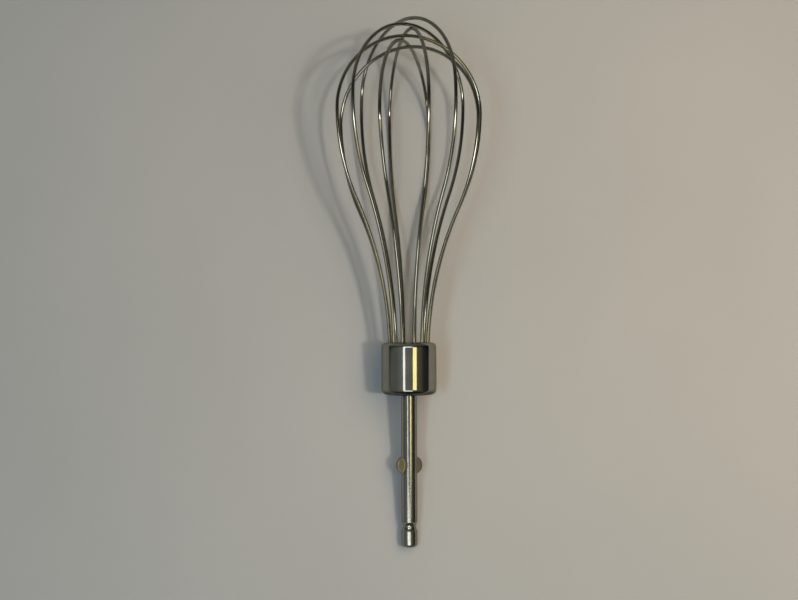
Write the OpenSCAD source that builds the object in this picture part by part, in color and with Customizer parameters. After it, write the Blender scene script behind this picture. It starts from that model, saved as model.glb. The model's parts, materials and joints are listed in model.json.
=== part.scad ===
// Wire whisk attachment for a kitchen mixer, lying on a flat surface.
// Each part is drawn about the whisk's own axis, with the collar's lip at height 0, the balloon of
// wires above it and the drive shaft below, and is then laid down: the balloon points along +Y and
// the whisk rests on its two lowest wires and on the tip of its shaft.

/* [Balloon] */
// Diameter of the wire
wire_d = 1.3; // [0.8:0.1:1.6]
// Height of the tallest loop's top above the collar, measured to the middle of the wire
tallest_loop = 120.4; // [112:0.5:128]
// How much lower each next loop crosses under the one before it
loop_step = 2.1; // [1.8:0.1:2.6]
// Direction of each loop's plane, tallest loop first, in degrees
loop_turn = [50.5, 138.5, 76, 163, 108, 22.5]; // [0:0.5:180]
// Half the width of each loop at its widest, tallest loop first
loop_reach = [27.4, 27.5, 29.5, 27.9, 30.7, 27.6]; // [25:0.1:31]
// Height at which each loop is widest, tallest loop first
loop_belly = [88.5, 90, 87, 87, 90.5, 84]; // [82:1:92]
// Radius of the long curve through the belly of a loop
belly_radius = 82; // [70:1:90]
// How far each loop leans to the right, tallest loop first, in degrees
loop_lean = [-0.3, 0.4, 0, 0.4, -0.6, 0]; // [-0.6:0.1:0.6]

/* [Collar] */
// Outer diameter of the collar
collar_d = 20.4; // [19.6:0.1:22]
// Height of the collar
collar_h = 19.4; // [18:0.1:22]
// Thickness of the collar's sheet
sheet = 0.8; // [0.6:0.05:1]
// Outer radius of the lip that is rolled in over the holder
lip_round = 1.8; // [1.4:0.1:2]
// Outer radius of the corner round the collar's base
base_round = 2.2; // [1.6:0.1:2.6]

/* [Drive shaft] */
// Diameter of the shaft
shaft_d = 6; // [5.6:0.1:6.4]
// Length of the shaft that stands out of the collar
shaft_reach = 56; // [50:1:64]
// Radius of the rounded edge at the shaft's tip
tip_round = 1.2; // [0.6:0.1:1.5]
// Distance from the tip to the middle of the detent groove
groove_from_tip = 7.6; // [6:0.1:9]
// Diameter at the bottom of the groove
groove_d = 4.9; // [4.6:0.1:5.2]
// Radius of the groove's hollow
groove_round = 2.7; // [2:0.1:3]
// Distance from the tip to the middle of the two driving ears
ears_from_tip = 30.1; // [27:0.1:33]
// Span across the two ears
ears_span = 9.8; // [9:0.1:11]
// Thickness of an ear
ear_thickness = 1.8; // [1.4:0.1:2.2]
// Direction of the ears about the shaft, in degrees
ears_turn = -20; // [-90:1:90]

/* [Inside the collar] */
// Radius of the circle on which the twelve legs stand
leg_circle = 7.4; // [7.1:0.1:7.5]
// Depth below the lip at which the legs start to spread
spread_depth = 5; // [3:0.5:6]
// Diameter of the shaft's spigot
spigot_d = 5; // [4.6:0.1:5.2]
// Distance across the two flats of the spigot
spigot_flats = 4.2; // [4:0.1:4.6]
// Thickness of the plate that locks the feet
plate_h = 1.2; // [1:0.1:1.4]
// Thickness of the washer under the riveted head
washer_h = 0.8; // [0.6:0.1:1]
// Diameter of the washer under the riveted head
washer_d = 9.8; // [9:0.1:10]
// Diameter of the riveted head
head_d = 7.8; // [7:0.1:8.4]
// Height of the riveted head
head_h = 1.3; // [1:0.1:1.4]

/* [Hidden] */

round_fn = 96;
wire_fn = 24;
loop_fn = 180;

wire_r = wire_d / 2;
shaft_r = shaft_d / 2;
collar_r = collar_d / 2;
spigot_r = spigot_d / 2;
past = 1;                                   // how far a cutter runs past the face it opens

// Heights along the whisk's axis
tip_z = -collar_h - shaft_reach;
groove_z = tip_z + groove_from_tip;
ears_z = tip_z + ears_from_tip;
base_inside_z = -collar_h + sheet;
plate_top_z = base_inside_z + plate_h;
recess_z = -3.2;
washer_top_z = recess_z + washer_h;
spread_z = -spread_depth;

// The holder, and the play round it and in its bores
slide_play = 0.05;
bore_play = 0.1;
recess_play = 0.3;
holder_top_z = -sheet - slide_play;
holder_r = collar_r - sheet - bore_play;
holder_chamfer = 0.7;
recess_r = washer_d / 2 + recess_play;

// The feet, bent in under the holder
foot_bend = 1.5;
foot_end_r = 4.8;
foot_z = plate_top_z + wire_r;
bend_z = foot_z + foot_bend;

// The ears and the hollows that the press leaves beside them
ear_round = 3.35;
press_round = 4.1;
press_depth = 1.82;                         // distance from the axis to the nearest point of a hollow

// A loop is an arc that spreads from the collar, a long arc through the belly and an arc over the
// top. The three are tangent, so two of the radii follow from the sizes above.
loop_count = len(loop_turn);
function top_z(i) = tallest_loop - i * loop_step;
function belly_x(i) = loop_reach[i] - belly_radius;
function spread_radius(i) =
    ((leg_circle - belly_x(i)) ^ 2 + (loop_belly[i] - spread_z) ^ 2 - belly_radius ^ 2)
    / (2 * (loop_reach[i] - leg_circle));
function top_radius(i) =
    let (drop = loop_belly[i] - top_z(i))
    (belly_radius ^ 2 - belly_x(i) ^ 2 - drop ^ 2) / (2 * (drop + belly_radius));
function spread_angle(i) =
    atan2(loop_belly[i] - spread_z, leg_circle + spread_radius(i) - belly_x(i));
function top_angle(i) = atan2(top_z(i) - top_radius(i) - loop_belly[i], -belly_x(i));

// Adjoining lengths of a wire stop just short of each other, and a bead a hair wider than the wire
// joins them into one solid.
seam_gap = 0.08;
bead_rise = 0.04;

// How far the tip and a loop reach below the axis when the whisk is tilted by t degrees
function tip_drop(t) =
    (shaft_r - tip_round) * cos(t) - (tip_z + tip_round) * sin(t) + tip_round;
function loop_drop(i, t) =
    let (across = cos(t) * sin(loop_turn[i]))
    belly_x(i) * across - loop_belly[i] * sin(t) + belly_radius * norm([across, sin(t)]) + wire_r;
function lowest(t) = max([for (i = [0 : loop_count - 1]) loop_drop(i, t)]);
// The tilt at which the tip and the lowest loop touch the surface together
function rest_tilt(t, rounds) =
    rounds == 0 ? t
    : rest_tilt(t + asin((lowest(t) - tip_drop(t)) / (loop_belly[0] - tip_z)), rounds - 1);
tilt = rest_tilt(8, 4);

// The ends of the whisk along +Y when it lies down, for an origin midway between them
function loop_far(i, t) =
    (top_z(i) - top_radius(i)) * cos(t)
    + top_radius(i) * norm([cos(t), sin(t) * sin(loop_turn[i])]) + wire_r;
far_y = max([for (i = [0 : loop_count - 1]) loop_far(i, tilt)]);
near_y = (tip_z + tip_round) * cos(tilt) - (shaft_r - tip_round) * sin(tilt) - tip_round;

module laid_down() {
    translate([0, -(far_y + near_y) / 2, tip_drop(tilt)])
        rotate([tilt - 90, 0, 0])
            children();
}

// A disc with two flats cut across it, or a bar of the same section
module flatted_bar(r, flats, h) {
    intersection() {
        cylinder(r = r, h = h, $fn = round_fn);
        translate([-r, -flats / 2, 0]) cube([2 * r, flats, h]);
    }
}

// A length of wire bent round a centre at [distance from the axis, height]
module wire_arc(centre, r, from, to) {
    short = seam_gap / r * 180 / PI;
    translate([centre[0], 0, centre[1]])
        rotate([90, 0, 0])
            rotate([0, 0, from + short])
                rotate_extrude(angle = to - from - 2 * short, $fn = loop_fn)
                    translate([r, 0]) circle(r = wire_r, $fn = wire_fn);
}

module bead(x, z) {
    translate([x, 0, z]) sphere(r = wire_r + bead_rise, $fn = wire_fn);
}

// The foot of a leg and the straight length that stands in the holder
module foot() {
    translate([foot_end_r, 0, foot_z])
        rotate([0, 90, 0])
            cylinder(r = wire_r, h = leg_circle - foot_bend - foot_end_r - seam_gap, $fn = wire_fn);
    bead(leg_circle - foot_bend, foot_z);
    wire_arc([leg_circle - foot_bend, bend_z], foot_bend, -90, 0);
    bead(leg_circle, bend_z);
    translate([leg_circle, 0, bend_z + seam_gap])
        cylinder(r = wire_r, h = spread_z - bend_z - 2 * seam_gap, $fn = wire_fn);
    bead(leg_circle, spread_z);
}

// The bent length of a leg, up to the start of the arc over the top
module leg(i) {
    wire_arc([leg_circle + spread_radius(i), spread_z], spread_radius(i), 180 - spread_angle(i), 180);
    bead(
        belly_x(i) + belly_radius * cos(spread_angle(i)),
        loop_belly[i] - belly_radius * sin(spread_angle(i))
    );
    wire_arc([belly_x(i), loop_belly[i]], belly_radius, -spread_angle(i), top_angle(i));
    bead(
        belly_x(i) + belly_radius * cos(top_angle(i)),
        loop_belly[i] + belly_radius * sin(top_angle(i))
    );
}

// A loop leans from the height at which its legs start to spread
module leaning(i) {
    translate([0, 0, spread_z]) rotate([0, loop_lean[i], 0]) translate([0, 0, -spread_z]) children();
}

module wire_loop(i) {
    color("silver") laid_down() {
        for (side = [0, 180]) {
            rotate([0, 0, side - loop_turn[i]]) foot();
            leaning(i) rotate([0, 0, side - loop_turn[i]]) leg(i);
        }
        leaning(i) rotate([0, 0, -loop_turn[i]])
            wire_arc([0, top_z(i) - top_radius(i)], top_radius(i), top_angle(i), 180 - top_angle(i));
    }
}

// Half the section of a closed cup with a rounded lip and a rounded base
module cup_section(r, low, high, low_round, high_round) {
    translate([0, low + low_round]) square([r, high - low - low_round - high_round]);
    translate([0, low]) square([r - low_round, low_round]);
    translate([0, high - high_round]) square([r - high_round, high_round]);
    translate([r - low_round, low + low_round]) circle(r = low_round, $fn = round_fn);
    translate([r - high_round, high - high_round]) circle(r = high_round, $fn = round_fn);
}

// Drawn cup, with its lip rolled in over the holder and a hole for the spigot in its base
module collar_shell() {
    color("gainsboro") laid_down() difference() {
        rotate_extrude($fn = round_fn)
            cup_section(collar_r, -collar_h, 0, base_round, lip_round);
        rotate_extrude($fn = round_fn)
            cup_section(
                collar_r - sheet, base_inside_z, -sheet, base_round - sheet, lip_round - sheet
            );
        translate([0, 0, -sheet - past / 2])
            cylinder(r = collar_r - lip_round, h = sheet + past, $fn = round_fn);
        translate([0, 0, -collar_h - past])
            cylinder(r = spigot_r + slide_play, h = sheet + 2 * past, $fn = round_fn);
    }
}

// Moulded plug with a bore for each leg, a radial slot under it for each foot, and a recess in its
// top for the riveted head
module wire_holder() {
    color("dimgray") laid_down() difference() {
        union() {
            translate([0, 0, plate_top_z])
                cylinder(r = holder_r, h = holder_top_z - holder_chamfer - plate_top_z, $fn = round_fn);
            translate([0, 0, holder_top_z - holder_chamfer])
                cylinder(r1 = holder_r, r2 = holder_r - holder_chamfer, h = holder_chamfer, $fn = round_fn);
        }
        translate([0, 0, recess_z]) cylinder(r = recess_r, h = past - recess_z, $fn = round_fn);
        translate([0, 0, plate_top_z - past])
            flatted_bar(
                spigot_r + slide_play, spigot_flats + 2 * slide_play, recess_z - plate_top_z + 2 * past
            );
        for (i = [0 : loop_count - 1], side = [0, 180])
            rotate([0, 0, side - loop_turn[i]]) {
                translate([leg_circle, 0, plate_top_z])
                    cylinder(r = wire_r + bore_play, h = past - plate_top_z, $fn = round_fn);
                translate([foot_end_r - bore_play, -wire_r - bore_play, plate_top_z - past])
                    cube([
                        leg_circle - foot_end_r + bore_play,
                        2 * (wire_r + bore_play),
                        bend_z - plate_top_z + past
                    ]);
            }
    }
}

// Steel plate that closes the slots, so that the feet can't turn or pull out
module leg_plate() {
    color("lightslategray") laid_down() translate([0, 0, base_inside_z]) difference() {
        cylinder(r = collar_r - base_round, h = plate_h, $fn = round_fn);
        translate([0, 0, -past])
            flatted_bar(spigot_r + slide_play, spigot_flats + 2 * slide_play, plate_h + 2 * past);
    }
}

module head_washer() {
    color("lightslategray") laid_down() translate([0, 0, recess_z]) difference() {
        cylinder(d = washer_d, h = washer_h, $fn = round_fn);
        translate([0, 0, -past])
            cylinder(r = spigot_r + slide_play, h = washer_h + 2 * past, $fn = round_fn);
    }
}

// One ear, pressed out of the shaft as a flat disc that stands out to one side
module ear() {
    translate([ears_span / 2 - ear_round, 0, 0])
        rotate([90, 0, 0])
            cylinder(r = ear_round, h = ear_thickness, center = true, $fn = round_fn);
}

// The hollows that the press leaves in the shaft, one on each face of an ear
module press_hollows() {
    for (side = [-1, 1])
        translate([press_depth + press_round, side * (ear_thickness / 2 + shaft_r / 2), 0])
            rotate([90, 0, 0])
                cylinder(r = press_round, h = shaft_r, center = true, $fn = round_fn);
}

// Round bar with a rounded tip, up to the shoulder under the collar
module bar() {
    translate([0, 0, tip_z + tip_round]) cylinder(r = shaft_r, h = shaft_reach - tip_round, $fn = round_fn);
    rotate_extrude($fn = round_fn) {
        translate([0, tip_z]) square([shaft_r - tip_round, tip_round]);
        translate([shaft_r - tip_round, tip_z + tip_round]) intersection() {
            circle(r = tip_round, $fn = round_fn);
            translate([0, -tip_round]) square(tip_round);
        }
    }
}

// The spigot through the collar, flatted below the washer, and its riveted head
module spigot() {
    translate([0, 0, -collar_h]) cylinder(r = spigot_r, h = sheet, $fn = round_fn);
    translate([0, 0, base_inside_z]) flatted_bar(spigot_r, spigot_flats, recess_z - base_inside_z);
    translate([0, 0, recess_z]) cylinder(r = spigot_r, h = washer_h, $fn = round_fn);
    dome_r = ((head_d / 2) ^ 2 + head_h ^ 2) / (2 * head_h);
    translate([0, 0, washer_top_z]) intersection() {
        translate([0, 0, head_h - dome_r]) sphere(r = dome_r, $fn = round_fn);
        cylinder(d = head_d, h = head_h, $fn = round_fn);
    }
}

module drive_shaft() {
    color("silver") laid_down() {
        difference() {
            bar();
            translate([0, 0, groove_z])
                rotate_extrude($fn = round_fn)
                    translate([groove_d / 2 + groove_round, 0]) circle(r = groove_round, $fn = round_fn);
            for (side = [0, 180])
                translate([0, 0, ears_z]) rotate([0, 0, side - ears_turn]) press_hollows();
        }
        for (side = [0, 180])
            translate([0, 0, ears_z]) rotate([0, 0, side - ears_turn]) ear();
        spigot();
    }
}

drive_shaft();
collar_shell();
wire_holder();
leg_plate();
head_washer();
wire_loop(0);  // wire_loop_1
wire_loop(1);  // wire_loop_2
wire_loop(2);  // wire_loop_3
wire_loop(3);  // wire_loop_4
wire_loop(4);  // wire_loop_5
wire_loop(5);  // wire_loop_6
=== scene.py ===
"""A kitchen mixer's balloon whisk lying on a pale surface.

The whisk is drawn about its own axis, with the collar's lip at height 0, the balloon of wires above it and
the drive shaft below, and is then laid into the row frame. Sizes are in metres.
"""

import json
import math

import bpy
import numpy as np
from mathutils import Matrix, Vector


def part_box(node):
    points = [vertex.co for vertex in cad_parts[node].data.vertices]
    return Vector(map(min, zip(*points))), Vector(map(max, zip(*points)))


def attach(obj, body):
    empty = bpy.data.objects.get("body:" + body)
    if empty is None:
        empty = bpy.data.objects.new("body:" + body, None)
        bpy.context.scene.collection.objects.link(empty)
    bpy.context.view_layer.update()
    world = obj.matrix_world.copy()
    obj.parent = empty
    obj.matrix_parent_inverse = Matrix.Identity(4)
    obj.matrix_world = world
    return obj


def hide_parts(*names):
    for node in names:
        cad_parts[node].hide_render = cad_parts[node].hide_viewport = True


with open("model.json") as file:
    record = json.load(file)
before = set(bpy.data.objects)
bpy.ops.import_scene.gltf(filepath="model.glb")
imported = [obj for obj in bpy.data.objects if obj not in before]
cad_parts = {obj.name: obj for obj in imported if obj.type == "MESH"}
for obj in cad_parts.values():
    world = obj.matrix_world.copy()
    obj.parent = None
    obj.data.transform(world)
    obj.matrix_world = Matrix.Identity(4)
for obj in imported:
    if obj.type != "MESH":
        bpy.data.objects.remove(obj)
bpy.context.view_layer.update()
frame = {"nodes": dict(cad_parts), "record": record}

MM = 0.001

# Driving dimensions of the whisk, the same as the CAD model's
WIRE_R = 0.65 * MM
TALLEST_LOOP = 120.4 * MM
LOOP_STEP = 2.1 * MM
LOOP_TURN = [50.5, 138.5, 76.0, 163.0, 108.0, 22.5]
LOOP_REACH = [27.4 * MM, 27.5 * MM, 29.5 * MM, 27.9 * MM, 30.7 * MM, 27.6 * MM]
LOOP_BELLY = [88.5 * MM, 90.0 * MM, 87.0 * MM, 87.0 * MM, 90.5 * MM, 84.0 * MM]
LOOP_LEAN = [-0.3, 0.4, 0.0, 0.4, -0.6, 0.0]
BELLY_RADIUS = 82.0 * MM
COLLAR_R = 10.2 * MM
COLLAR_H = 19.4 * MM
SHEET = 0.8 * MM
LIP_ROUND = 1.8 * MM
BASE_ROUND = 2.2 * MM
SHAFT_R = 3.0 * MM
SHAFT_REACH = 56.0 * MM
TIP_ROUND = 1.2 * MM
GROOVE_FROM_TIP = 7.6 * MM
GROOVE_BOTTOM_R = 2.45 * MM
GROOVE_ROUND = 2.7 * MM
EARS_FROM_TIP = 30.1 * MM
EAR_REACH = 4.9 * MM
EAR_THICKNESS = 1.8 * MM
EAR_ROUND = 3.35 * MM
EARS_TURN = -20.0
PRESS_ROUND = 4.1 * MM
PRESS_DEPTH = 1.82 * MM  # from the axis to the nearest point of a hollow
LEG_CIRCLE = 7.4 * MM
SPREAD_DEPTH = 5.0 * MM
SPIGOT_R = 2.5 * MM
SPIGOT_FLATS = 4.2 * MM
PLATE_H = 1.2 * MM
WASHER_H = 0.8 * MM
HEAD_R = 3.9 * MM
HEAD_H = 1.3 * MM
FOOT_BEND = 1.5 * MM
FOOT_END_R = 4.8 * MM
RECESS_DEPTH = 3.2 * MM

# Heights along the whisk's axis
TIP_Z = -COLLAR_H - SHAFT_REACH
GROOVE_Z = TIP_Z + GROOVE_FROM_TIP
EARS_Z = TIP_Z + EARS_FROM_TIP
BASE_INSIDE_Z = -COLLAR_H + SHEET
PLATE_TOP_Z = BASE_INSIDE_Z + PLATE_H
WASHER_TOP_Z = -RECESS_DEPTH + WASHER_H
HEAD_TOP_Z = WASHER_TOP_Z + HEAD_H
SPREAD_Z = -SPREAD_DEPTH
FOOT_Z = PLATE_TOP_Z + WIRE_R
BEND_Z = FOOT_Z + FOOT_BEND

# ---------------------------------------------------------------------------------------------------------
# The whisk's axis in the row frame, from where the drive ears are mounted

ears_mount = next(m for m in frame["record"]["mounts"] if m["name"] == "drive_ears")
ALONG = -Vector(ears_mount["axis"])
ACROSS = Vector((1.0, 0.0, 0.0))
DOWN = ALONG.cross(ACROSS)
LIP = Vector(ears_mount["pos_m"]) - ALONG * EARS_Z
LAID = np.array([ACROSS, DOWN, ALONG])


def laid(points):
    """Points about the whisk's axis, as an array of rows, in the row frame."""
    return np.asarray(points) @ LAID + np.array(LIP)


# ---------------------------------------------------------------------------------------------------------
# Mesh helpers

SHARP_ANGLE = 35.0
SAME_PLACE = 0.002 * MM


def mesh_piece(name, points, faces, own_points):
    """A smooth-shaded object. own_points are the points in millimetres about the piece's own straight axis,
    and its materials take their grain from them."""
    mesh = bpy.data.meshes.new(name)
    mesh.from_pydata([tuple(p) for p in laid(points)], [], faces)
    grain = mesh.attributes.new("grain", "FLOAT_VECTOR", "POINT")
    grain.data.foreach_set("vector", (np.asarray(own_points) / MM).astype(np.float32).ravel())
    mesh.shade_smooth()
    mesh.set_sharp_from_angle(angle=math.radians(SHARP_ANGLE))
    mesh.update()
    piece = bpy.data.objects.new(name, mesh)
    bpy.context.scene.collection.objects.link(piece)
    return piece


def arc(centre, radius, start, end, step):
    """Points on an arc from one angle to another, in degrees, no further than step apart."""
    count = max(2, math.ceil(abs(math.radians(end - start)) * radius / step) + 1)
    turn = np.radians(np.linspace(start, end, count))
    return np.column_stack([centre[0] + radius * np.cos(turn), centre[1] + radius * np.sin(turn)])


def line(start, end, step):
    """Points on a straight line, its two ends among them, no further than step apart."""
    count = max(2, math.ceil(math.dist(start, end) / step) + 1)
    return np.linspace(start, end, count)


def joined(stretches):
    """The stretches one after another, without a point that repeats the one before it."""
    points = np.vstack(stretches)
    apart = np.linalg.norm(np.diff(points, axis=0), axis=1) > SAME_PLACE
    return points[np.concatenate([[True], apart])]


def ring_faces(rings, segments, closed):
    """Faces between neighbouring rings, facing outwards where the rings run up the axis. closed joins the
    last ring to the first."""
    faces = []
    for k in range(rings if closed else rings - 1):
        low, high = k * segments, (k + 1) % rings * segments
        for s in range(segments):
            t = (s + 1) % segments
            faces.append((low + s, low + t, high + t, high + s))
    return faces


def ring(turn, radii, z):
    """Points round the whisk's axis at one height. radii is one radius or one for each angle."""
    return np.column_stack([radii * np.cos(turn), radii * np.sin(turn), np.full(len(turn), z)])


def turned(rings, ends=None):
    """Points and faces of a solid about the whisk's axis. With no ends, the rings go once round a section.
    Otherwise the first and the last ring close on the axis, at the two heights in ends."""
    segments = len(rings[0])
    points = np.vstack(rings)
    faces = ring_faces(len(rings), segments, closed=ends is None)
    if ends:
        first, last = len(points), len(points) + 1
        top = (len(rings) - 1) * segments
        points = np.vstack([points, [[0, 0, z] for z in ends]])
        for s in range(segments):
            t = (s + 1) % segments
            faces.append((t, s, first))
            faces.append((top + s, top + t, last))
    return points, faces


# ---------------------------------------------------------------------------------------------------------
# Wires

WIRE_SIDES = 16
WIRE_STEP = 1.0 * MM
BEND_STEP = 0.3 * MM
LEAN_START = 2.0 * MM


def half_loop(i):
    """A loop from the end of one foot to its top, in its own plane as [distance from the axis, height]."""
    top_z = TALLEST_LOOP - i * LOOP_STEP
    belly = LOOP_BELLY[i]
    belly_x = LOOP_REACH[i] - BELLY_RADIUS
    spread_r = (
        (LEG_CIRCLE - belly_x) ** 2 + (belly - SPREAD_Z) ** 2 - BELLY_RADIUS**2
    ) / (2 * (LOOP_REACH[i] - LEG_CIRCLE))
    drop = belly - top_z
    top_r = (BELLY_RADIUS**2 - belly_x**2 - drop**2) / (2 * (drop + BELLY_RADIUS))
    spread_turn = math.degrees(math.atan2(belly - SPREAD_Z, LEG_CIRCLE + spread_r - belly_x))
    top_turn = math.degrees(math.atan2(top_z - top_r - belly, -belly_x))
    bend_x = LEG_CIRCLE - FOOT_BEND
    return joined([
        line((FOOT_END_R, FOOT_Z), (bend_x, FOOT_Z), BEND_STEP),
        arc((bend_x, BEND_Z), FOOT_BEND, -90, 0, BEND_STEP),
        line((LEG_CIRCLE, BEND_Z), (LEG_CIRCLE, SPREAD_Z), WIRE_STEP),
        arc((LEG_CIRCLE + spread_r, SPREAD_Z), spread_r, 180, 180 - spread_turn, WIRE_STEP),
        arc((belly_x, belly), BELLY_RADIUS, -spread_turn, top_turn, WIRE_STEP),
        arc((0, top_z - top_r), top_r, top_turn, 90, WIRE_STEP),
    ])


def wire_loop(i):
    """One loop of wire, swept along its own plane, turned about the axis and leaned to one side."""
    half = half_loop(i)
    path = np.vstack([half, (half[:-1] * [-1, 1])[::-1]])
    ahead = np.gradient(path, axis=0)
    ahead /= np.linalg.norm(ahead, axis=1)[:, None]
    outward = np.column_stack([ahead[:, 1], -ahead[:, 0]])
    along = np.concatenate([[0], np.cumsum(np.linalg.norm(np.diff(path, axis=0), axis=1))])
    turn = np.linspace(0, 2 * math.pi, WIRE_SIDES, endpoint=False)
    reach, side = WIRE_R * np.cos(turn), WIRE_R * np.sin(turn)
    u = path[:, 0, None] + outward[:, 0, None] * reach
    z = path[:, 1, None] + outward[:, 1, None] * reach
    v = np.broadcast_to(side, u.shape)
    own = np.column_stack([
        np.tile(reach, len(path)), np.tile(side, len(path)), np.repeat(along, WIRE_SIDES)
    ])
    # Each wire takes its grain from a stretch of its own
    own += [0, 0, (i + 1) * 2 * along[-1]]
    face = math.radians(LOOP_TURN[i])
    x = u * math.cos(face) + v * math.sin(face)
    y = -u * math.sin(face) + v * math.cos(face)
    lean = math.radians(LOOP_LEAN[i]) * np.clip((z - SPREAD_Z) / LEAN_START, 0, 1)
    leaned_x = x * np.cos(lean) + (z - SPREAD_Z) * np.sin(lean)
    leaned_z = SPREAD_Z - x * np.sin(lean) + (z - SPREAD_Z) * np.cos(lean)
    points = np.column_stack([leaned_x.ravel(), y.ravel(), leaned_z.ravel()])
    faces = [f[::-1] for f in ring_faces(len(path), WIRE_SIDES, closed=False)]
    faces.append(tuple(range(WIRE_SIDES)))
    faces.append(tuple(range(len(points) - 1, len(points) - 1 - WIRE_SIDES, -1)))
    return mesh_piece(f"whisk_wire_{i + 1}", points, faces, own)


# ---------------------------------------------------------------------------------------------------------
# Collar: a drawn cup with its lip rolled in over the holder

COLLAR_SEGMENTS = 160
EDGE_ROUND = 0.25 * MM
ROUND_STEP = 0.14 * MM
FLAT_STEP = 1.0 * MM
WALL_STEP = 2.0 * MM
SLIDE_PLAY = 0.05 * MM


def collar():
    """The cup, from the section of its sheet."""
    inner_r = COLLAR_R - SHEET
    hole_r = SPIGOT_R + SLIDE_PLAY
    mouth_r = COLLAR_R - LIP_ROUND
    outline = joined([
        arc((hole_r + EDGE_ROUND, -COLLAR_H + EDGE_ROUND), EDGE_ROUND, 180, 270, ROUND_STEP / 2),
        line((hole_r + EDGE_ROUND, -COLLAR_H), (COLLAR_R - BASE_ROUND, -COLLAR_H), FLAT_STEP),
        arc((COLLAR_R - BASE_ROUND, -COLLAR_H + BASE_ROUND), BASE_ROUND, -90, 0, ROUND_STEP),
        line((COLLAR_R, -COLLAR_H + BASE_ROUND), (COLLAR_R, -LIP_ROUND), WALL_STEP),
        arc((mouth_r, -LIP_ROUND), LIP_ROUND, 0, 90, ROUND_STEP),
        arc((mouth_r, -SHEET / 2), SHEET / 2, 90, 270, ROUND_STEP / 2),
        arc((mouth_r, -LIP_ROUND), LIP_ROUND - SHEET, 90, 0, ROUND_STEP),
        line((inner_r, -LIP_ROUND), (inner_r, -COLLAR_H + BASE_ROUND), WALL_STEP),
        arc((COLLAR_R - BASE_ROUND, -COLLAR_H + BASE_ROUND), BASE_ROUND - SHEET, 0, -90, ROUND_STEP),
        line((COLLAR_R - BASE_ROUND, BASE_INSIDE_Z), (hole_r, BASE_INSIDE_Z), FLAT_STEP),
    ])
    turn = np.linspace(0, 2 * math.pi, COLLAR_SEGMENTS, endpoint=False)
    points, faces = turned([ring(turn, r, z) for r, z in outline])
    return mesh_piece("whisk_collar", points, faces, points)


# ---------------------------------------------------------------------------------------------------------
# Drive shaft: a turned bar with two ears pressed out of it, a groove, a spigot and a riveted head

# Points round the shaft: so many at each ear, up to so many degrees to either side of it, and so many between
EAR_SEGMENTS = 60
EAR_SECTOR = 34.0
SIDE_SEGMENTS = 48

# Steps up the pressed stretch and over the two ends, and the height in which the spigot turns flat
EAR_STEP = 0.09 * MM
FACE_STEP = 0.6 * MM
DOME_STEP = 0.3 * MM
FLATS_EDGE = 0.1 * MM

# The pressed stretch: half its length, its rounded edges and how far off the bar its finish is fully its own
EAR_ZONE = 3.9 * MM
PRESS_BLEND = 0.28 * MM
EAR_CORNER = 0.22 * MM
PRESS_FADE = 0.12 * MM

# Between which radii its surface is looked for, and in how many halvings
PRESSED_LEAST_R = 1.2 * MM
PRESSED_MOST_R = EAR_REACH + 1.0 * MM
HALVINGS = 26


def soft_most(a, b, blend):
    """The larger of two distances, with the corner where they meet rounded."""
    near = np.clip(blend - np.abs(a - b), 0, None) / blend
    return np.maximum(a, b) + near**2 * blend / 4


def pressed_distance(u, n, w):
    """Signed distance from the pressed stretch of the shaft. u runs along the ears, n across their faces and
    w along the shaft from the ears' middle."""
    u, n = np.abs(u), np.abs(n)
    half = EAR_THICKNESS / 2
    bar = np.hypot(u, n) - SHAFT_R
    hollow = soft_most(
        np.hypot(u - PRESS_DEPTH - PRESS_ROUND, w) - PRESS_ROUND, half - n, EAR_CORNER
    )
    ear = soft_most(np.hypot(u - EAR_REACH + EAR_ROUND, w) - EAR_ROUND, n - half, EAR_CORNER)
    return np.minimum(soft_most(bar, -hollow, PRESS_BLEND), ear)


def pressed_radii(turn, z):
    """How far the shaft reaches from its axis at each angle, at one height, found by bisection."""
    around = turn + math.radians(EARS_TURN)
    low, high = np.full(len(turn), PRESSED_LEAST_R), np.full(len(turn), PRESSED_MOST_R)
    for _ in range(HALVINGS):
        mid = (low + high) / 2
        inside = pressed_distance(mid * np.cos(around), mid * np.sin(around), z - EARS_Z) < 0
        low, high = np.where(inside, mid, low), np.where(inside, high, mid)
    return (low + high) / 2


def pressed_share(points):
    """1 where the press has marked the shaft: in the hollows and on the ears. 0 on the turned bar."""
    radii = np.hypot(points[:, 0], points[:, 1])
    around = np.arctan2(points[:, 1], points[:, 0]) + math.radians(EARS_TURN)
    u, n = np.abs(radii * np.cos(around)), np.abs(radii * np.sin(around))
    w = points[:, 2] - EARS_Z
    on_ear = np.hypot(u - EAR_REACH + EAR_ROUND, w) < EAR_ROUND + PRESS_FADE / 4
    on_face = on_ear & (n < EAR_THICKNESS / 2 + PRESS_FADE / 4)
    off_bar = np.clip(np.abs(radii - SHAFT_R) / PRESS_FADE, 0, 1)
    return (np.abs(w) < EAR_ZONE) * np.maximum(off_bar, on_face)


def shaft_shape(turn, z, r):
    """Radii of one ring of the shaft: round, pressed at the ears or flatted on the spigot."""
    if abs(z - EARS_Z) < EAR_ZONE:
        return pressed_radii(turn, z)
    if BASE_INSIDE_Z <= z <= -RECESS_DEPTH:
        flat = SPIGOT_FLATS / 2
        return flat / np.maximum(np.abs(np.sin(turn)), flat / r)
    return np.full(len(turn), r)


def shaft_angles():
    """Angles round the shaft, closer together at the two ears."""
    sector = math.radians(EAR_SECTOR)
    fine = np.linspace(-sector, sector, EAR_SEGMENTS, endpoint=False)
    rest = np.linspace(sector, math.pi - sector, SIDE_SEGMENTS, endpoint=False)
    half = np.concatenate([fine, rest])
    return np.concatenate([half, half + math.pi]) - math.radians(EARS_TURN)


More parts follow.
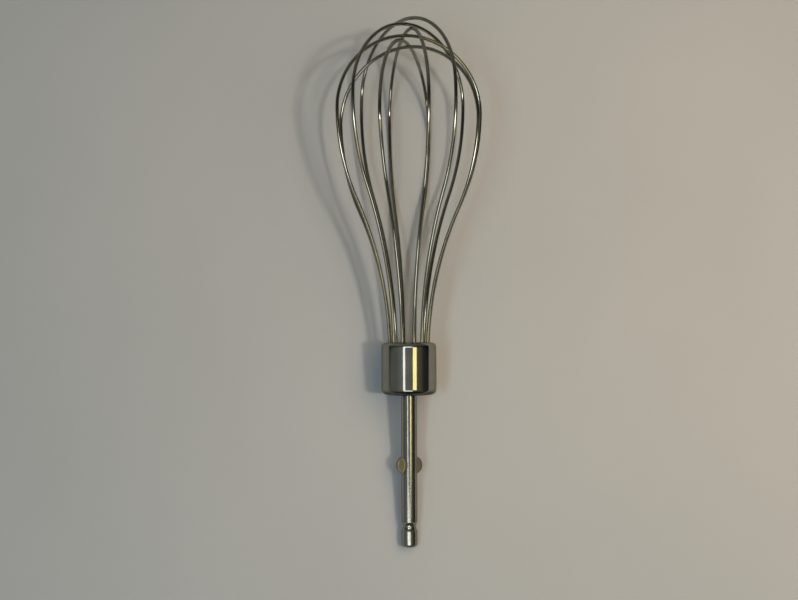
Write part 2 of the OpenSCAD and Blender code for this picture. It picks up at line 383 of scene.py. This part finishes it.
def drive_shaft():
    """The whole bar from its tip to its riveted head, with what the press has marked in "pressed"."""
    groove_half = math.sqrt(GROOVE_ROUND**2 - (GROOVE_BOTTOM_R + GROOVE_ROUND - SHAFT_R) ** 2)
    groove_turn = math.degrees(math.asin(groove_half / GROOVE_ROUND))
    groove_centre = (GROOVE_BOTTOM_R + GROOVE_ROUND, GROOVE_Z)
    tip_centre = (SHAFT_R - TIP_ROUND, TIP_Z + TIP_ROUND)
    dome_r = (HEAD_R**2 + HEAD_H**2) / (2 * HEAD_H)
    dome_turn = math.degrees(math.asin(HEAD_R / dome_r))
    dome_centre = (0, HEAD_TOP_Z - dome_r)
    outline = joined([
        line((0, TIP_Z), (SHAFT_R - TIP_ROUND, TIP_Z), FACE_STEP),
        arc(tip_centre, TIP_ROUND, -90, 0, ROUND_STEP),
        line((SHAFT_R, TIP_Z + TIP_ROUND), (SHAFT_R, GROOVE_Z - groove_half), FLAT_STEP),
        arc(groove_centre, GROOVE_ROUND, 180 + groove_turn, 180 - groove_turn, ROUND_STEP),
        line((SHAFT_R, GROOVE_Z + groove_half), (SHAFT_R, EARS_Z - EAR_ZONE), WALL_STEP),
        line((SHAFT_R, EARS_Z - EAR_ZONE + EAR_STEP), (SHAFT_R, EARS_Z + EAR_ZONE - EAR_STEP), EAR_STEP),
        line((SHAFT_R, EARS_Z + EAR_ZONE), (SHAFT_R, -COLLAR_H - EDGE_ROUND), WALL_STEP),
        arc((SHAFT_R - EDGE_ROUND, -COLLAR_H - EDGE_ROUND), EDGE_ROUND, 0, 90, ROUND_STEP / 2),
        line((SPIGOT_R, -COLLAR_H), (SPIGOT_R, BASE_INSIDE_Z - FLATS_EDGE), FLAT_STEP),
        line((SPIGOT_R, BASE_INSIDE_Z), (SPIGOT_R, -RECESS_DEPTH), FLAT_STEP),
        line((SPIGOT_R, -RECESS_DEPTH + FLATS_EDGE), (SPIGOT_R, WASHER_TOP_Z), FLAT_STEP),
        arc(dome_centre, dome_r, 90 - dome_turn, 90, DOME_STEP),
    ])
    turn = shaft_angles()
    rings = [ring(turn, shaft_shape(turn, z, r), z) for r, z in outline[1:-1]]
    points, faces = turned(rings, ends=(TIP_Z, HEAD_TOP_Z))
    piece = mesh_piece("whisk_shaft", points, faces, points)
    pressed = pressed_share(points).astype(np.float32)
    piece.data.attributes.new("pressed", "FLOAT", "POINT").data.foreach_set("value", pressed)
    return piece


# ---------------------------------------------------------------------------------------------------------
# Materials

EDGE_TINT = (0.55, 0.55, 0.50, 1.0)
PRESSED_ROUGHNESS = 0.36

# Heights on the collar between which the painted shade on its base, a dark reflection painted into the
# colour, gives way
PAINTED_SHADE_BELOW = -COLLAR_H + BASE_ROUND / 2
PAINTED_SHADE_ENDS_ABOVE = -COLLAR_H + BASE_ROUND + 0.3 * MM


def fill_ramp(ramp, stops):
    """Give a colour ramp node its stops, each one a position and a colour."""
    elements = ramp.color_ramp.elements
    while len(elements) < len(stops):
        elements.new(0.5)
    for element, (position, colour) in zip(elements, stops):
        element.position = position
        element.color = (*colour, 1)


class Nodes:
    """Short calls for building one material's nodes."""

    def __init__(self, name, **constants):
        self.material = bpy.data.materials.new(name)
        self.material.use_nodes = True
        self.tree = self.material.node_tree
        self.shader = self.tree.nodes["Principled BSDF"]
        for socket, value in constants.items():
            self.shader.inputs[socket.replace("_", " ")].default_value = value

    def node(self, kind, settings=None, **inputs):
        made = self.tree.nodes.new(kind)
        for key, value in (settings or {}).items():
            setattr(made, key, value)
        for socket, value in inputs.items():
            self.feed(made.inputs[socket.replace("_", " ")], value)
        return made

    def feed(self, socket, value):
        if isinstance(value, bpy.types.NodeSocket):
            self.tree.links.new(value, socket)
        else:
            socket.default_value = value

    def grain(self, scale):
        """The piece's own coordinates in millimetres, scaled along each axis."""
        coords = self.node("ShaderNodeAttribute", {"attribute_name": "grain"}).outputs["Vector"]
        return self.node("ShaderNodeMapping", Vector=coords, Scale=scale).outputs["Vector"]

    def noise(self, vector, scale, detail=4.0, roughness=0.55):
        return self.node(
            "ShaderNodeTexNoise", Vector=vector, Scale=scale, Detail=detail, Roughness=roughness
        ).outputs["Fac"]

    def spread(self, value, low, high, to_low, to_high):
        """value from low to high, mapped to the new range and held inside it."""
        names = {"From_Min": low, "From_Max": high, "To_Min": to_low, "To_Max": to_high}
        return self.node("ShaderNodeMapRange", Value=value, **names).outputs["Result"]

    def math(self, operation, a, b):
        made = self.tree.nodes.new("ShaderNodeMath")
        made.operation = operation
        self.feed(made.inputs[0], a)
        self.feed(made.inputs[1], b)
        return made.outputs[0]

    def colours(self, value, stops):
        """A colour ramp. stops are (position, (r, g, b))."""
        ramp = self.tree.nodes.new("ShaderNodeValToRGB")
        fill_ramp(ramp, stops)
        self.tree.links.new(value, ramp.inputs["Fac"])
        return ramp.outputs["Color"]

    def bump(self, height, distance, strength, normal=None):
        """A bumped normal, over the one given or the mesh's own. distance is in metres."""
        made = self.node("ShaderNodeBump", Height=height, Distance=distance, Strength=strength)
        if normal is not None:
            self.tree.links.new(normal, made.inputs["Normal"])
        return made.outputs["Normal"]

    def done(self, **sockets):
        """The finished material, with these values or nodes on its shader."""
        for socket, value in sockets.items():
            self.feed(self.shader.inputs[socket.replace("_", " ")], value)
        return self.material


def wire_steel():
    """Bright drawn wire, with fine lines along its length."""
    m = Nodes("wire_steel", Metallic=1.0, Specular_Tint=EDGE_TINT)
    lines = m.noise(m.grain((5.0, 5.0, 0.12)), 1.6)
    patches = m.noise(m.grain((0.25, 0.25, 0.25)), 1.0, 3.0)
    colour = m.colours(patches, [(0.3, (0.300, 0.291, 0.240)), (0.7, (0.375, 0.365, 0.310))])
    rough = m.spread(lines, 0.3, 0.7, 0.04, 0.11)
    return m.done(Base_Color=colour, Roughness=rough, Normal=m.bump(lines, 0.006 * MM, 0.5))


def shaft_steel():
    """Turned bar, finely brushed along its length, with small pits. Browner and duller where it's pressed."""
    m = Nodes("shaft_steel", Metallic=1.0, Specular_Tint=EDGE_TINT)
    lines = m.noise(m.grain((7.0, 7.0, 0.35)), 1.5, 6.0, 0.65)
    pits = m.noise(m.grain((1.0, 1.0, 0.8)), 2.4, 3.0, 0.5)
    patches = m.noise(m.grain((0.35, 0.35, 0.12)), 1.0, 3.0)
    worn = m.spread(lines, 0.3, 0.75, 0.07, 0.17)
    pressed = m.node("ShaderNodeAttribute", {"attribute_name": "pressed"}).outputs["Fac"]
    tone = m.math("SUBTRACT", patches, pressed)
    colour = m.colours(tone, [
        (0.0, (0.335, 0.296, 0.243)), (0.3, (0.330, 0.330, 0.306)), (0.7, (0.390, 0.390, 0.362))
    ])
    rough = m.math("MAXIMUM", worn, m.math("MULTIPLY", pressed, PRESSED_ROUGHNESS))
    brushed = m.bump(lines, 0.014 * MM, 0.5)
    return m.done(Base_Color=colour, Roughness=rough, Normal=m.bump(pits, 0.045 * MM, 0.5, brushed))


def collar_steel():
    """Polished stainless sheet with faint handling marks, and painted shade at the base's rounding and under
    it: a dark reflection painted into the colour.
    """
    m = Nodes("collar_steel", Metallic=1.0, Specular_Tint=EDGE_TINT)
    smudge = m.noise(m.grain((0.16, 0.16, 0.16)), 1.0, 5.0, 0.6)
    lines = m.noise(m.grain((0.6, 0.6, 9.0)), 1.4, 5.0, 0.6)
    # Painted shade: the colour darkens towards the base's rounding and underside, a dark reflection painted
    # in, not a property of the steel
    height = m.node("ShaderNodeSeparateXYZ", Vector=m.grain((1.0, 1.0, 1.0))).outputs["Z"]
    out_of_painted_shade = m.spread(height, PAINTED_SHADE_BELOW / MM, PAINTED_SHADE_ENDS_ABOVE / MM, 0.0, 1.0)
    colour = m.colours(m.math("MULTIPLY", smudge, out_of_painted_shade), [
        (0.0, (0.130, 0.132, 0.124)), (0.3, (0.340, 0.338, 0.308)), (0.7, (0.385, 0.384, 0.352))
    ])
    rough = m.spread(smudge, 0.3, 0.75, 0.06, 0.11)
    return m.done(Base_Color=colour, Roughness=rough, Normal=m.bump(lines, 0.003 * MM, 0.5))


def plate_steel():
    """Stamped steel, dull."""
    m = Nodes("plate_steel", Metallic=1.0)
    coords = m.node("ShaderNodeTexCoord").outputs["Object"]
    grit = m.noise(coords, 1400.0, 5.0)
    patches = m.noise(coords, 220.0, 3.0)
    colour = m.colours(patches, [(0.3, (0.42, 0.42, 0.41)), (0.7, (0.54, 0.54, 0.53))])
    rough = m.spread(grit, 0.3, 0.7, 0.32, 0.5)
    return m.done(Base_Color=colour, Roughness=rough, Normal=m.bump(grit, 0.01 * MM, 0.6))


def holder_nylon():
    """Moulded dark nylon with a fine grain."""
    m = Nodes("holder_nylon")
    coords = m.node("ShaderNodeTexCoord").outputs["Object"]
    grit = m.noise(coords, 3800.0, 3.0)
    patches = m.noise(coords, 260.0, 4.0)
    colour = m.colours(patches, [(0.3, (0.022, 0.022, 0.023)), (0.7, (0.040, 0.039, 0.038))])
    rough = m.spread(grit, 0.3, 0.7, 0.42, 0.6)
    return m.done(Base_Color=colour, Roughness=rough, Normal=m.bump(grit, 0.02 * MM, 0.5))


def pale_surface():
    """Matte off-white table top with a faint mottle."""
    m = Nodes("pale_surface")
    coords = m.node("ShaderNodeTexCoord").outputs["Object"]
    mottle = m.noise(coords, 9.0, 5.0, 0.5)
    grit = m.noise(coords, 900.0, 3.0)
    colour = m.colours(mottle, [(0.3, (0.430, 0.460, 0.502)), (0.7, (0.460, 0.488, 0.530))])
    rough = m.spread(grit, 0.3, 0.7, 0.5, 0.62)
    return m.done(Base_Color=colour, Roughness=rough, Normal=m.bump(grit, 0.02 * MM, 0.15))


# ---------------------------------------------------------------------------------------------------------
# Camera, surface and light

# In millimetres
LENS = 61.7
SENSOR = 36.0

# In degrees
VIEW_TILT = 11.13
VIEW_ROLL = -0.17

# How far the camera is from the collar's lip, along the picture's own directions
CAMERA_LEFT = 3.593 * MM
CAMERA_UP = 15.70 * MM
CAMERA_BACK = 506.4 * MM

CAMERA_NEAREST = 0.01
FLOOR_HALF = 4.0


def photo_camera():
    """Almost straight above the whisk, as far off as a hand holds a phone."""
    tilt = math.radians(VIEW_TILT)
    right = Vector((1, 0, 0))
    up = Vector((0, math.cos(tilt), math.sin(tilt)))
    back = right.cross(up)
    place = LIP - right * CAMERA_LEFT + up * CAMERA_UP + back * CAMERA_BACK
    facing = Matrix((right, up, back)).transposed().to_4x4()
    data = bpy.data.cameras.new("camera")
    data.lens = LENS
    data.sensor_width = SENSOR
    data.clip_start = CAMERA_NEAREST
    camera = bpy.data.objects.new("camera", data)
    roll = Matrix.Rotation(math.radians(VIEW_ROLL), 4, "Z")
    camera.matrix_world = Matrix.Translation(place) @ facing @ roll
    bpy.context.scene.collection.objects.link(camera)
    bpy.context.scene.camera = camera


def floor():
    """The surface that the whisk lies on."""
    mesh = bpy.data.meshes.new("floor")
    corners = [(x * FLOOR_HALF, y * FLOOR_HALF, 0) for x, y in ((-1, -1), (1, -1), (1, 1), (-1, 1))]
    mesh.from_pydata(corners, [], [(0, 1, 2, 3)])
    surface = bpy.data.objects.new("floor", mesh)
    bpy.context.scene.collection.objects.link(surface)
    mesh.materials.append(pale_surface())


# Colours of the lights
COOL = (0.97, 1.0, 0.98)
WARM = (1.0, 0.90, 0.38)
WARM_KEY = (1.0, 0.92, 0.74)
COOL_KEY = (0.78, 0.95, 1.0)
GLOW = (1.0, 0.70, 0.40)

# Heights over the surface
PANEL_HEIGHT = 0.5
EDGE_HEIGHT = PANEL_HEIGHT - 0.002
LAMP_HEIGHT = 1.6
CEILING = 3.0
GLOW_HEIGHT = 0.35

# The cool panel and its slot: how far round to the right and how far forward each reaches, in degrees, as
# the middle of the collar sees it
PANEL_REACH = ((-24.3, 18.0), (-40.0, 4.0))
SLOT_REACH = ((-15.8, 14.0), (-22.0, -2.5))
PANEL_ROUND = 0.045
SLOT_ROUND = 0.028
CORNER_STEPS = 6
PANEL_RADIANCE = 2.5

# Lights in the same angles, each with its height, its colour and how bright it looks
ONLY_IN_METAL = {
    "cool_edge": (((-19.0, 11.0), (-2.5, 2.5)), EDGE_HEIGHT, COOL, 5.0),
    "warm_lamp": (((16.3, 32.0), (-17.0, -5.0)), LAMP_HEIGHT, WARM, 2.6),
}
ONLY_ON_SURFACE = {
    "warm_key": (((21.2, 25.8), (-13.0, -9.0)), LAMP_HEIGHT, WARM_KEY, 170.0),
    "cool_key": (((-24.0, -15.0), (-28.0, -2.0)), CEILING, COOL_KEY, 8.3),
}

# The warm glow's corners and how bright it looks
GLOW_LOW = (0.05, -0.11)
GLOW_HIGH = (0.35, 0.19)
GLOW_RADIANCE = 2.7


def softbox(name, low, high, height, colour, radiance):
    """A flat light that faces down, between two corners. radiance is how bright it looks."""
    data = bpy.data.lights.new(name, "AREA")
    data.shape = "RECTANGLE"
    data.size, data.size_y = high[0] - low[0], high[1] - low[1]
    data.color = colour
    data.energy = radiance * math.pi * data.size * data.size_y
    lamp = bpy.data.objects.new(name, data)
    lamp.location = ((low[0] + high[0]) / 2, (low[1] + high[1]) / 2, height)
    lamp.visible_camera = False
    bpy.context.scene.collection.objects.link(lamp)
    return lamp


def rounded_loop(low, high, radius, height):
    """Points round a rectangle with rounded corners, anticlockwise from the right edge's far end."""
    corners = (
        (high[0] - radius, high[1] - radius, 0), (low[0] + radius, high[1] - radius, 90),
        (low[0] + radius, low[1] + radius, 180), (high[0] - radius, low[1] + radius, 270),
    )
    loop = np.vstack([
        arc((x, y), radius, start, start + 90, radius / CORNER_STEPS) for x, y, start in corners
    ])
    return np.column_stack([loop, np.full(len(loop), height)])


def slotted_panel(outer, slot):
    """A glowing sheet with a rounded slot in it, open on the right. It's only seen mirrored in the metal."""
    rim = rounded_loop(*outer, PANEL_ROUND, PANEL_HEIGHT)
    hole = rounded_loop(*slot, SLOT_ROUND, PANEL_HEIGHT)
    total = len(rim)
    faces = [(k, k + 1, total + k + 1, total + k) for k in range(total - 1)]
    mesh = bpy.data.meshes.new("cool_panel")
    mesh.from_pydata([tuple(p) for p in np.vstack([rim, hole])], [], faces)
    sheet = bpy.data.objects.new("cool_panel", mesh)
    glow = bpy.data.materials.new("cool_panel")
    glow.use_nodes = True
    tree = glow.node_tree
    emission = tree.nodes.new("ShaderNodeEmission")
    emission.inputs["Color"].default_value = (*COOL, 1)
    emission.inputs["Strength"].default_value = PANEL_RADIANCE
    tree.links.new(emission.outputs["Emission"], tree.nodes["Material Output"].inputs["Surface"])
    mesh.materials.append(glow)
    bpy.context.scene.collection.objects.link(sheet)
    sheet.visible_camera = False
    sheet.visible_diffuse = False
    sheet.visible_shadow = False


def lights():
    """What the metal mirrors: a cool panel with a dark slot in it, a brighter strip along its far edge and a
    warm lamp to its right. What lights the surface: a warm and a cool lamp in the same directions and a warm
    glow from the right."""
    middle = (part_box("collar_shell")[0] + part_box("collar_shell")[1]) / 2

    def corners(reach, height):
        """The two corners, at this height, of what reaches over these angles."""
        turns, tilts = reach
        return [
            (
                middle.x + height * math.tan(math.radians(turn)),
                middle.y + height * math.tan(math.radians(tilt)),
            )
            for turn, tilt in zip(turns, tilts)
        ]

    slotted_panel(corners(PANEL_REACH, PANEL_HEIGHT), corners(SLOT_REACH, PANEL_HEIGHT))
    for name, (reach, height, colour, radiance) in ONLY_IN_METAL.items():
        softbox(name, *corners(reach, height), height, colour, radiance).visible_diffuse = False
    for name, (reach, height, colour, radiance) in ONLY_ON_SURFACE.items():
        softbox(name, *corners(reach, height), height, colour, radiance).visible_glossy = False
    glow = softbox("warm_glow", GLOW_LOW, GLOW_HIGH, GLOW_HEIGHT, GLOW, GLOW_RADIANCE)
    glow.visible_glossy = False


# How bright the room is from far left, past straight up, to far right
ROOM = [
    (0.00, (0.170, 0.172, 0.160)),
    (0.10, (0.170, 0.172, 0.160)),
    (0.20, (0.250, 0.252, 0.240)),
    (0.50, (0.235, 0.238, 0.225)),
    (0.80, (0.150, 0.135, 0.105)),
    (0.88, (0.140, 0.125, 0.095)),
    (0.95, (0.040, 0.040, 0.034)),
    (1.00, (0.036, 0.037, 0.032)),
]
# How much of that there is from near, past straight up, to far
ROOM_DEPTH = [
    (0.00, 0.20),
    (0.12, 0.35),
    (0.22, 0.90),
    (0.30, 1.00),
    (0.47, 1.00),
    (0.50, 0.22),
    (0.60, 0.22),
    (0.68, 0.72),
    (1.00, 0.85),
]


def room():
    """A dim room, darkest at the far right."""
    world = bpy.data.worlds.new("room")
    bpy.context.scene.world = world
    world.use_nodes = True
    tree = world.node_tree
    coords = tree.nodes.new("ShaderNodeTexCoord")
    split = tree.nodes.new("ShaderNodeSeparateXYZ")
    tree.links.new(coords.outputs["Generated"], split.inputs["Vector"])
    depth = [(position, (level, level, level)) for position, level in ROOM_DEPTH]
    for direction, stops, socket in (("X", ROOM, "Color"), ("Y", depth, "Strength")):
        across = tree.nodes.new("ShaderNodeMapRange")
        across.inputs["From Min"].default_value = -1
        ramp = tree.nodes.new("ShaderNodeValToRGB")
        fill_ramp(ramp, stops)
        tree.links.new(split.outputs[direction], across.inputs["Value"])
        tree.links.new(across.outputs["Result"], ramp.inputs["Fac"])
        tree.links.new(ramp.outputs["Color"], tree.nodes["Background"].inputs[socket])


# ---------------------------------------------------------------------------------------------------------
# The scene


def stand_in(piece, node, material):
    """piece is shown for a CAD node, rides with the whisk and takes this finish."""
    piece.data.materials.append(material)
    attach(piece, "root")
    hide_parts(node)


bpy.context.scene.view_settings.view_transform = "Standard"
photo_camera()
floor()
room()
lights()

wire_finish = wire_steel()
for i in range(len(LOOP_TURN)):
    stand_in(wire_loop(i), f"wire_loop_{i + 1}", wire_finish)
stand_in(collar(), "collar_shell", collar_steel())
stand_in(drive_shaft(), "drive_shaft", shaft_steel())

plate_finish = plate_steel()
for node, finish in (
    ("wire_holder", holder_nylon()), ("leg_plate", plate_finish), ("head_washer", plate_finish)
):
    frame["nodes"][node].material_slots[0].material = finish
